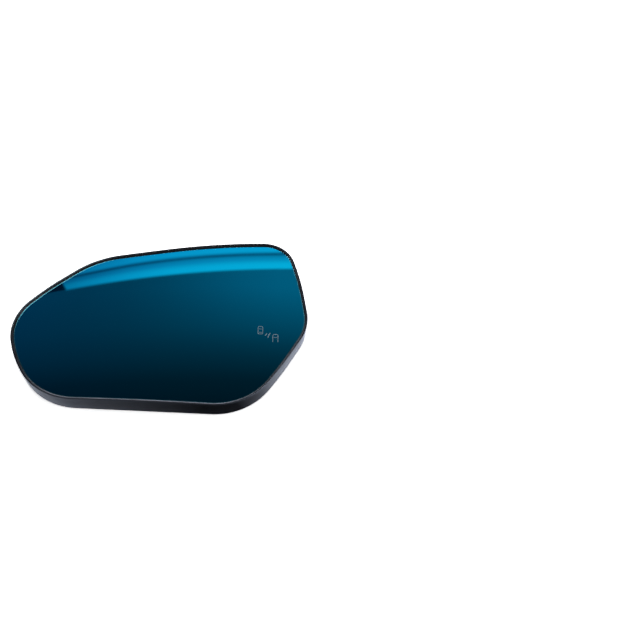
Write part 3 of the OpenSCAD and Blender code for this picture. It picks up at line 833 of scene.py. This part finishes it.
def fasteners(name, nodes, section, head, material, recess=None):
    """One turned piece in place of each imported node, head down. Returns them as one object."""
    points = bpy.data.meshes.new(name + "_points")
    spots = []
    for node in nodes:
        low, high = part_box(node)
        spots.append(((low[0] + high[0]) / 2, (low[1] + high[1]) / 2, low[2] + head))
    points.from_pydata(spots, [], [])
    holder = bpy.data.objects.new(name + "_points", points)
    bpy.context.scene.collection.objects.link(holder)
    profile = poly_curve(name + "_section", [Vector(p) * MM for p in section], closed=False)
    modifier = holder.modifiers.new("Turned fastener", "NODES")
    modifier.node_group = fastener_tree()
    values = {"Section": profile, "Material": material, "Head Height": head, "Recessed": recess is not None}
    if recess:
        values.update({"Recess Length": recess[0], "Recess Width": recess[1], "Recess Depth": recess[2]})
    set_inputs(modifier, values)
    turned = evaluated_mesh(holder)
    bpy.data.objects.remove(profile)
    bm = bmesh.new()
    bm.from_mesh(turned)
    bmesh.ops.recalc_face_normals(bm, faces=bm.faces[:])
    obj = mesh_object(name, bm, material, smooth=math.radians(35))
    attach(obj, "root")
    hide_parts(*nodes)
    return obj


# Heights of the screw's and the rivet's heads, in mm.
SCREW_HEAD, RIVET_HEAD = 1.4, 0.8


def screw_section():
    """Pan head screw in mm: radius, and height over the underside of its head."""
    head, flat, dome = 2.1, 1.35, 0.65
    shank, crest, pitch, length, tip = 0.95, 1.1, 0.5, 4.2, 0.5
    section = [(0.0, -SCREW_HEAD), (flat, -SCREW_HEAD)]
    section += [(flat + (head - flat) * math.sin(t), dome * (1 - math.cos(t)) - SCREW_HEAD)
                for t in (0.3, 0.6, 0.9, 1.2, 1.5)]
    section += [(head, -0.06), (head - 0.06, 0.0), (shank, 0.0)]
    for k in range(7):
        section += [(shank, 0.3 + pitch * k), (crest, 0.5 + pitch * k)]
    section += [(shank, length - 0.4), (tip, length), (0.0, length)]
    return section


def rivet_section():
    """Rivet in mm: a domed head, and a shank that reaches the back of the glass."""
    head, flat, dome, shank, length = 2.2, 1.0, 0.7, 1.2, 1.28
    section = [(0.0, -RIVET_HEAD), (flat, -RIVET_HEAD)]
    section += [(flat + (head - flat) * math.sin(t), dome * (1 - math.cos(t)) - RIVET_HEAD)
                for t in (0.3, 0.6, 0.9, 1.2)]
    section += [(head, -0.05), (head - 0.05, 0.0), (shank, 0.0), (shank, length), (0.0, length)]
    return section


def smooth_by_angle():
    """Geometry nodes that merge a loose mesh and shade it smooth up to an angle."""
    name = "Smooth by angle"
    if name in bpy.data.node_groups:
        return bpy.data.node_groups[name]
    tree, start, end = geometry_tree(name, {"Angle": math.radians(30)})
    merge = add(tree, "GeometryNodeMergeByDistance", {"Geometry": start["Geometry"], "Distance": 1e-6})
    faces = add(tree, "GeometryNodeSetShadeSmooth", {"Geometry": merge.outputs["Geometry"]}, domain="FACE")
    angle = add(tree, "GeometryNodeInputMeshEdgeAngle").outputs["Unsigned Angle"]
    compare = add(tree, "FunctionNodeCompare", {"A": angle, "B": start["Angle"]},
                  data_type="FLOAT", operation="LESS_THAN")
    edges = add(tree, "GeometryNodeSetShadeSmooth", {
        "Geometry": faces.outputs["Geometry"], "Shade Smooth": compare.outputs["Result"],
    }, domain="EDGE")
    fill(tree, end, edges.outputs["Geometry"])
    return tree


def dress(node, material, bevel=0.0):
    """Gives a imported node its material, soft edges and smooth shading."""
    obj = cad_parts[node]
    obj.data.materials.clear()
    obj.data.materials.append(material)
    weld = obj.modifiers.new("Weld", "WELD")
    weld.merge_threshold = 1e-6
    if bevel:
        soft = obj.modifiers.new("Soft edges", "BEVEL")
        soft.width = bevel
        soft.segments = 2
        soft.limit_method = "ANGLE"
        soft.angle_limit = math.radians(40)
    shading = obj.modifiers.new("Shading", "NODES")
    shading.node_group = smooth_by_angle()


class MIRROR_OT_heater(bpy.types.Operator):
    """Finish the heater film, its electrodes, the foam pad and the terminals"""

    bl_idname = "door_mirror.heater"
    bl_label = "Heater"

    def execute(self, context):
        film = finish_material(
            "Polyester film", ((0.012, 0.01, 0.009), (0.02, 0.016, 0.014)), grain=1.5 * MM, rough=(0.2, 0.32),
        )
        silver = finish_material(
            "Printed silver", ((0.52, 0.52, 0.53), (0.62, 0.62, 0.64)), patch=3 * MM,
            grain=0.15 * MM, rough=(0.4, 0.55), Metallic=0.85,
        )
        foam = finish_material(
            "Closed-cell foam", ((0.012, 0.012, 0.013), (0.03, 0.03, 0.032)), patch=0.9 * MM,
            grain=0.3 * MM, rough=(0.8, 0.95), depth=0.08 * MM, Specular_IOR_Level=0.2,
        )
        brass = finish_material(
            "Rolled brass", ((0.60, 0.42, 0.16), (0.72, 0.54, 0.24)), patch=3 * MM,
            grain=0.2 * MM, rough=(0.24, 0.38), depth=0.003 * MM, Metallic=1.0,
        )
        dress("heater_film", film)
        dress("heater_electrode_left", silver)
        dress("heater_electrode_right", silver)
        dress("foam_pad", foam)
        for side in ("left", "right"):
            dress("terminal_blade_" + side, brass, bevel=0.12 * MM)
        rivets = fasteners(
            "terminal_rivets", ("terminal_rivet_left", "terminal_rivet_right"), rivet_section(),
            RIVET_HEAD * MM, brass,
        )
        return {"FINISHED"}


class MIRROR_OT_indicator(bpy.types.Operator):
    """Finish the indicator's housing, light, board, contacts and screws"""

    bl_idname = "door_mirror.indicator"
    bl_label = "Indicator"

    def execute(self, context):
        housing = finish_material(
            "Housing plastic", ((0.012, 0.012, 0.013), (0.018, 0.018, 0.02)), grain=0.3 * MM,
            rough=(0.4, 0.55), depth=0.01 * MM, Specular_IOR_Level=0.4,
        )
        foam = bpy.data.materials["Closed-cell foam"]
        milk = finish_material(
            "Milky plastic", ((0.78, 0.77, 0.72), (0.86, 0.85, 0.8)), rough=(0.35, 0.5),
            Subsurface_Weight=0.3, Subsurface_Scale=1.5 * MM,
        )
        laminate = finish_material(
            "Green laminate", ((0.006, 0.10, 0.04), (0.01, 0.15, 0.06)), patch=2 * MM,
            grain=0.25 * MM, rough=(0.25, 0.4), Coat_Weight=0.4,
        )
        resin = finish_material("LED resin", ((0.85, 0.7, 0.25), (0.9, 0.8, 0.4)), rough=(0.1, 0.2))
        ceramic = finish_material("Ceramic", ((0.01, 0.01, 0.01), (0.02, 0.02, 0.02)), rough=(0.2, 0.35))
        contact = finish_material(
            "Contact metal", ((0.70, 0.62, 0.42), (0.8, 0.72, 0.52)), rough=(0.18, 0.3), Metallic=1.0,
        )
        zinc = finish_material(
            "Zinc plating", ((0.48, 0.49, 0.52), (0.6, 0.6, 0.62)), patch=1 * MM,
            grain=0.1 * MM, rough=(0.25, 0.42), Metallic=1.0,
        )
        dress("indicator_housing", housing, bevel=0.15 * MM)
        dress("indicator_seal", foam)
        dress("indicator_diffuser", milk)
        dress("indicator_board", laminate)
        dress("indicator_led_1", resin)
        dress("indicator_led_2", resin)
        dress("indicator_resistor", ceramic)
        for i in ("1", "2"):
            dress("connector_pin_" + i, contact, bevel=0.08 * MM)
        screws = fasteners(
            "indicator_screws", ("indicator_screw_1", "indicator_screw_2"), screw_section(),
            SCREW_HEAD * MM, zinc, recess=(2.8 * MM, 0.55 * MM, 0.7 * MM),
        )
        return {"FINISHED"}


# Stage


def glossy_only(obj):
    """Shows a studio card in reflections and nowhere else."""
    obj.visible_camera = False
    obj.visible_diffuse = False
    obj.visible_transmission = False
    obj.visible_volume_scatter = False
    obj.visible_shadow = False


def plane(name, corners, material):
    """A flat card through four corners."""
    bm = bmesh.new()
    bm.faces.new([bm.verts.new(c) for c in corners])
    return mesh_object(name, bm, material)


def blank_material(name):
    """A material and its node tree, which is empty."""
    material = bpy.data.materials.new(name)
    material.use_nodes = True
    material.node_tree.nodes.clear()
    return material, material.node_tree


def emission_material(name, tone=(1.0, 1.0, 1.0), strength=1.0):
    """An emission material, its node tree and its emission node."""
    material, tree = blank_material(name)
    glow = add(tree, "ShaderNodeEmission", {"Color": tone, "Strength": strength})
    add(tree, "ShaderNodeOutputMaterial", {"Surface": glow.outputs["Emission"]})
    return material, tree, glow


def ceiling_material():
    """Dark studio ceiling: a dim panel overhead, and a glow that spreads from the softbox."""
    material, tree, glow = emission_material("Studio ceiling", (0.86, 0.88, 1.0))
    x, y = object_xy(tree)
    deep = level_curve(tree, y, (
        (-1.0, 0.5), (-0.3, 0.7), (0.0, 0.7), (0.08, 0.06), (0.3, 0.045),
        (0.38, 0.045), (0.46, 0.07), (0.54, 0.135), (0.64, 0.2), (0.78, 0.26), (0.95, 0.25),
        (1.1, 0.03), (1.5, 0.02),
    ))
    spread = level_curve(tree, y, (
        (0.48, 0.0), (0.54, 0.02), (0.58, 0.06), (0.62, 0.12), (0.70, 0.24), (0.80, 0.39), (0.9, 0.42),
        (1.05, 0.0),
    ))
    right = level_curve(tree, x, (
        (-0.38, 0.0), (-0.25, 0.1), (-0.15, 0.27), (-0.05, 0.52), (0.05, 0.8), (0.15, 1.0), (0.3, 1.05),
        (0.6, 0.5),
    ))
    level = math_node(tree, "ADD", deep, math_node(tree, "MULTIPLY", spread, right))
    fill(tree, glow.inputs["Strength"], level)
    return material


# The softbox over the back edge, in metres on the ceiling: its ends, its front edge at X = 0, the rise
# of that edge along X, and the depth from there to its far edge.
BOX_LEFT, BOX_RIGHT, BOX_FRONT, BOX_SLOPE, BOX_DEPTH = -0.425, 0.42, 0.8590, 0.1230, 0.33
# How far left its left end moves for each metre of depth, down to a depth in metres.
BOX_LEAN, LEAN_DEPTH = 0.5, 0.06


def softbox_material(stage):
    """Long softbox: lit most along its front edge, a dark seam, then a second lit band."""
    material, tree, glow = emission_material("Softbox")
    maths, ranged = partial(math_node, tree), partial(map_range, tree)
    x, y = object_xy(tree)
    front = maths("ADD", maths("MULTIPLY", x, BOX_SLOPE), BOX_FRONT)
    depth = maths("SUBTRACT", y, front)
    seam = level_curve(tree, x, (
        (-0.42, 0.0468), (-0.34, 0.0512), (-0.25, 0.0568), (-0.15, 0.0602), (-0.05, 0.0618),
        (0.1, 0.0618),
    ))
    share_of_seam = maths("DIVIDE", depth, seam)
    across = level_curve(tree, share_of_seam, (
        (0.0, 1.0), (0.2, 1.0), (0.3, 0.97), (0.4, 0.9), (0.5, 0.81), (0.62, 0.72), (0.76, 0.64),
        (0.86, 0.53), (0.93, 0.38), (0.985, 0.28), (1.05, 0.31), (1.12, 0.52), (1.2, 0.76), (1.3, 0.92),
        (1.45, 0.92), (1.7, 0.85), (2.1, 1.1), (2.5, 5.0), (5.5, 5.0),
    ))
    tone = level_curve(tree, share_of_seam, [(at, (1.0, green, 1.0)) for at, green in (
        (0.0, 1.0), (0.3, 1.0), (0.5, 0.96), (0.62, 0.88), (0.88, 0.87), (0.98, 0.78), (1.1, 0.84),
        (1.2, 0.91), (2.0, 0.92),
    )])
    along = level_curve(tree, x, (
        (BOX_LEFT, 0.52), (-0.34, 0.66), (-0.25, 0.80), (-0.15, 0.91), (0.0, 0.98), (0.2, 1.0),
        (BOX_RIGHT, 1.0),
    ))
    fill(tree, glow.inputs["Color"], tone)
    fill(tree, glow.inputs["Strength"], maths("MULTIPLY", maths("MULTIPLY", across, along), stage.softbox))
    lean = maths("MULTIPLY", ranged(depth, 0.0, LEAN_DEPTH), BOX_LEAN * LEAN_DEPTH)
    left_end = ranged(maths("ADD", x, lean), BOX_LEFT, BOX_LEFT + 0.006)
    mix = add(tree, "ShaderNodeMixShader", {
        "Fac": maths("MULTIPLY", ranged(depth, -0.010, 0.002), left_end),
        1: add(tree, "ShaderNodeBsdfTransparent").outputs["BSDF"], 2: glow.outputs["Emission"],
    })
    fill(tree, tree.nodes["Material Output"].inputs["Surface"], mix.outputs["Shader"])
    return material


def card(name, x0, x1, y0, y1, z, material):
    """A level card."""
    return plane(name, [(x0, y0, z), (x1, y0, z), (x1, y1, z), (x0, y1, z)], material)


def strip_card(name, x0, x1, near, far, z, material, lean=0.0):
    """A level card between two lines along the softbox's front edge, with its far end leant to the left."""
    corners = [(x0, near), (x1, near), (x1 - lean * far, far), (x0 - lean * far, far)]
    return plane(name, [(x, BOX_FRONT + BOX_SLOPE * x + depth, z) for x, depth in corners], material)


def ray_kinds(tree):
    """Two sockets: 1 for camera rays, and 1 for rays that show a surface in gloss or through glass."""
    path = add(tree, "ShaderNodeLightPath").outputs
    gloss = math_node(tree, "MAXIMUM", path["Is Glossy Ray"], path["Is Transmission Ray"])
    return path["Is Camera Ray"], gloss


# Painted light and shade on the floor that only gloss shows, so the wall's reflection is darker or lighter
# along X: X in metres and brightness.
PAINTED_FLOOR_LIGHT = (
    (-0.10, 1.4), (-0.064, 1.3), (-0.038, 0.7), (-0.006, 0.34), (0.03, 0.06), (0.054, 0.09), (0.068, 0.7),
    (0.082, 2.0), (0.10, 2.2),
)
# Level cards over the mirror that the rim shows: X and Y from and to in metres, colour and strength.
RIM_CARDS = {
    "corner_card": ((-1.45, -0.52, 1.02, 2.1), (0.82, 0.97, 1.0), 3.2),
    "right_card": ((0.95, 3.2, -0.9, 0.1), (0.96, 0.96, 1.0), 14.0),
}
# Both ends of each black wall's foot, in metres.
BLACK_WALLS = {
    "back_wall": ((-0.25, 2.6), (3.5, 1.6)),
    "left_wall": ((-3.4, 3.42), (-0.25, 3.42)),
    "end_wall": ((-3.4, -0.5), (-3.4, 3.42)),
}
# Y of the point that the camera looks at, in metres.
TARGET_Y = -0.00041


class MIRROR_OT_stage(bpy.types.Operator):
    """Make the floor, the studio, the lights and the camera"""

    bl_idname = "door_mirror.stage"
    bl_label = "Stage"

    def execute(self, context):
        scene, stage = context.scene, context.scene.mirror_stage
        scene.view_settings.view_transform = "Standard"
        self.world(scene, stage)
        self.floor()
        self.studio(stage)
        self.lamps(scene, stage)
        self.camera(scene, stage)
        return {"FINISHED"}

    def world(self, scene, stage):
        """White behind the object and in its gloss, and a plain level on matt surfaces."""
        world = bpy.data.worlds.new("Studio")
        scene.world = world
        world.use_nodes = True
        tree = world.node_tree
        seen = math_node(tree, "MAXIMUM", *ray_kinds(tree))
        level = math_node(tree, "ADD", math_node(tree, "MULTIPLY", seen, 1.0 - stage.ambient), stage.ambient)
        glow = tree.nodes["Background"]
        fill(tree, glow.inputs["Color"], (1.0, 1.0, 1.0))
        fill(tree, glow.inputs["Strength"], level)

    def floor(self):
        """White floor that keeps a soft shadow, with painted light and shade along X that only gloss rays
        see.
        """
        material, tree = blank_material("Floor")
        matt_tone, camera_tone, cool = (0.8, 0.8, 0.8), (2.6, 2.6, 2.6), (0.84, 0.90, 1.06)
        camera, gloss = ray_kinds(tree)
        # Painted light and shade: the floor's colour in gloss, tinted cool, rises and falls along X for the
        # wall to reflect.
        stops = [(at, shade(cool, level)) for at, level in PAINTED_FLOOR_LIGHT]
        painted_floor_light = level_curve(tree, object_xy(tree)[0], stops)
        tone = mixed(tree, camera, mixed(tree, gloss, matt_tone, painted_floor_light), camera_tone)
        matt = add(tree, "ShaderNodeBsdfDiffuse", {"Color": tone})
        add(tree, "ShaderNodeOutputMaterial", {"Surface": matt.outputs["BSDF"]})
        reach = 6.0
        card("floor", -reach, reach, -reach, reach, 0.0, material)

    def studio(self, stage):
        """Dark ceiling, the long softbox over the back edge with its black end, two cards and black walls."""
        high = stage.ceiling
        reach = 3.5
        glossy_only(card("studio_ceiling", -reach, reach, -reach, reach, high, ceiling_material()))
        left = BOX_LEFT - BOX_LEAN * LEAN_DEPTH
        box = softbox_material(stage)
        glossy_only(strip_card("softbox", left, BOX_RIGHT, -0.012, BOX_DEPTH, high - 0.002, box))
        black = emission_material("Black card", (0.03, 0.04, 0.06))[0]
        end_left = BOX_LEFT - 0.072
        glossy_only(strip_card(
            "softbox_end", end_left, BOX_LEFT, -0.004, 0.035, high - 0.004, black, BOX_LEAN,
        ))
        for name, (sides, tone, strength) in RIM_CARDS.items():
            lit = emission_material(name.replace("_", " ").capitalize(), tone, strength)[0]
            glossy_only(card(name, *sides, high - 0.003, lit))
        for name, ((x0, y0), (x1, y1)) in BLACK_WALLS.items():
            corners = [(x0, y0, 0.0), (x1, y1, 0.0), (x1, y1, high), (x0, y0, high)]
            glossy_only(plane(name, corners, black))

    def lamps(self, scene, stage):
        """A large soft key from behind and above, and a fill from the right."""
        for name, place, size, power in (
            ("key_light", (-0.25, 0.9, 1.3), 1.2, stage.key),
            ("fill_light", (1.1, -0.5, 0.7), 0.8, stage.fill),
        ):
            data = bpy.data.lights.new(name, "AREA")
            data.size = size
            data.energy = power
            lamp = bpy.data.objects.new(name, data)
            lamp.location = place
            lamp.rotation_euler = (-Vector(place)).to_track_quat("-Z", "Y").to_euler()
            lamp.visible_glossy = False
            scene.collection.objects.link(lamp)

    def camera(self, scene, stage):
        """Camera at the photograph's angle, looking at the plane of the crown."""
        data = bpy.data.cameras.new("camera")
        data.lens = stage.lens
        data.sensor_width = 36.0
        view = Vector((0.0, math.cos(stage.pitch), -math.sin(stage.pitch)))
        target = Vector((stage.offset, TARGET_Y, scene.mirror_glass.crown))
        camera = bpy.data.objects.new("camera", data)
        camera.location = target - view * stage.distance
        camera.rotation_euler = (math.pi / 2 - stage.pitch, 0.0, 0.0)
        scene.collection.objects.link(camera)
        scene.camera = camera


class MIRROR_PT_panel(bpy.types.Panel):
    """Sizes and colours, and a button for each group of pieces"""

    bl_label = "Door Mirror Glass"
    bl_idname = "MIRROR_PT_panel"
    bl_space_type = "VIEW_3D"
    bl_region_type = "UI"
    bl_category = "Mirror"

    def draw(self, context):
        layout = self.layout
        for settings in (context.scene.mirror_glass, context.scene.mirror_rim, context.scene.mirror_stage):
            box = layout.box()
            for name in settings.__annotations__:
                box.prop(settings, name)
        for operator in OPERATORS:
            layout.operator(operator.bl_idname)


SETTINGS = {"mirror_glass": GlassSettings, "mirror_rim": RimSettings, "mirror_stage": StageSettings}
OPERATORS = (
    MIRROR_OT_glass, MIRROR_OT_symbol, MIRROR_OT_carrier, MIRROR_OT_heater, MIRROR_OT_indicator,
    MIRROR_OT_stage,
)


def register():
    """Adds the settings, operators and panel."""
    for cls in (*SETTINGS.values(), *OPERATORS, MIRROR_PT_panel):
        bpy.utils.register_class(cls)
    for name, cls in SETTINGS.items():
        setattr(bpy.types.Scene, name, bpy.props.PointerProperty(type=cls))


def unregister():
    """Removes what register added."""
    for name in SETTINGS:
        delattr(bpy.types.Scene, name)
    for cls in reversed((*SETTINGS.values(), *OPERATORS, MIRROR_PT_panel)):
        bpy.utils.unregister_class(cls)


def main():
    """Builds every piece and the stage."""
    register()
    for name in ("glass", "symbol", "carrier", "heater", "indicator", "stage"):
        getattr(bpy.ops.door_mirror, name)()


if __name__ == "__main__":
    main()
